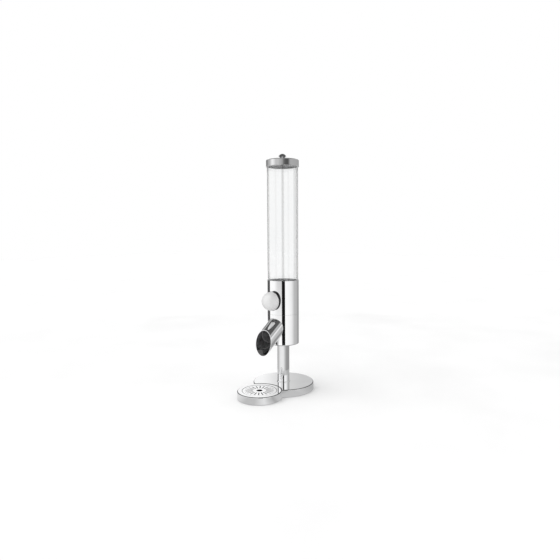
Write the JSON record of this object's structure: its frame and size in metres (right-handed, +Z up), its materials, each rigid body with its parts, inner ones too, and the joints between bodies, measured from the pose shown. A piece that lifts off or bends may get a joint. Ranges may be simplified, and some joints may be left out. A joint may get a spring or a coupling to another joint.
{
  "type": "cereal dispenser",
  "caption": "Table-top cereal dispenser: clear tube with steel lid on a polished housing with turning knob and angled spout, on a pole and round weighted base with a nested crumb tray.",
  "frame": {"origin": "on the table, under the axis of the pole, at the face of the base's rubber pad", "axes": "+Z up along the pole, -Y towards the front, where the knob, the spout and the tray are"},
  "size_m": [0.2, 0.296, 0.7692],
  "materials": {
    "polished_steel": "mirror polished stainless steel",
    "plain_steel": "plain sheet steel",
    "zinc_steel": "zinc plated fasteners",
    "polished_aluminium": "mirror polished",
    "cast_iron": "rough cast, painted",
    "black_rubber": "matt",
    "grey_plastic": "fine matt",
    "black_plastic": "fine matt",
    "satin_steel": "fine satin stainless steel",
    "white_plastic": "fine matt",
    "soft_vane": "translucent silicone",
    "clear_acrylic": "clear, gloss"
  },
  "bodies": {
    "stand": {"base_cover": "polished_steel", "base_weight": "cast_iron", "base_plate": "plain_steel", "base_plate_screws": "zinc_steel", "base_pad": "black_rubber", "pole": "polished_steel", "pole_foot_ring": "polished_steel", "pole_foot_plug": "plain_steel", "pole_bolt": "zinc_steel", "pole_washer": "zinc_steel", "pole_head_plate": "plain_steel", "head_plate_screws": "zinc_steel", "lower_housing": "polished_steel", "upper_housing": "polished_steel", "housing_joint_ring": "plain_steel", "housing_screws": "zinc_steel", "spout": "polished_steel", "chute": "black_plastic", "metering_chamber": "grey_plastic", "chamber_cover": "grey_plastic", "chamber_cover_screws": "zinc_steel", "tube_seat": "black_rubber", "knob_rosette": "black_plastic", "front_bushing": "white_plastic", "bushing_nut": "zinc_steel", "rear_bushing": "white_plastic"},
    "metering_wheel": {"drive_shaft": "plain_steel", "shaft_circlip": "zinc_steel", "paddle_hub": "white_plastic", "paddle_vanes": "soft_vane", "knob": "satin_steel", "knob_core": "black_plastic", "knob_grub_screw": "zinc_steel"},
    "hopper": {"hopper_tube": "clear_acrylic"},
    "lid": {"lid": "polished_steel", "lid_insert": "grey_plastic", "lid_seal": "black_rubber", "lid_knob": "polished_aluminium", "lid_knob_screw": "zinc_steel"},
    "tray": {"tray_pan": "polished_steel", "tray_pad": "black_rubber"},
    "grille": {"tray_grille": "polished_steel"}
  },
  "joints": [
    {"name": "knob_turn", "type": "hinge", "parent": "stand", "child": "metering_wheel", "pos_m": [0, 0, 0.3], "axis": [0, -1, 0], "continuous": true},
    {"name": "tube_lift", "type": "slide", "parent": "stand", "child": "hopper", "axis": [0, 0, 1], "range_m": [0, 0.06]},
    {"name": "lid_lift", "type": "slide", "parent": "hopper", "child": "lid", "axis": [0, 0, 1], "range_m": [0, 0.08]},
    {"name": "tray_slide", "type": "slide", "parent": "stand", "child": "tray", "axis": [0, -1, 0], "range_m": [0, 0.12]},
    {"name": "grille_lift", "type": "slide", "parent": "tray", "child": "grille", "axis": [0, 0, 1], "range_m": [0, 0.05]}
  ]
}
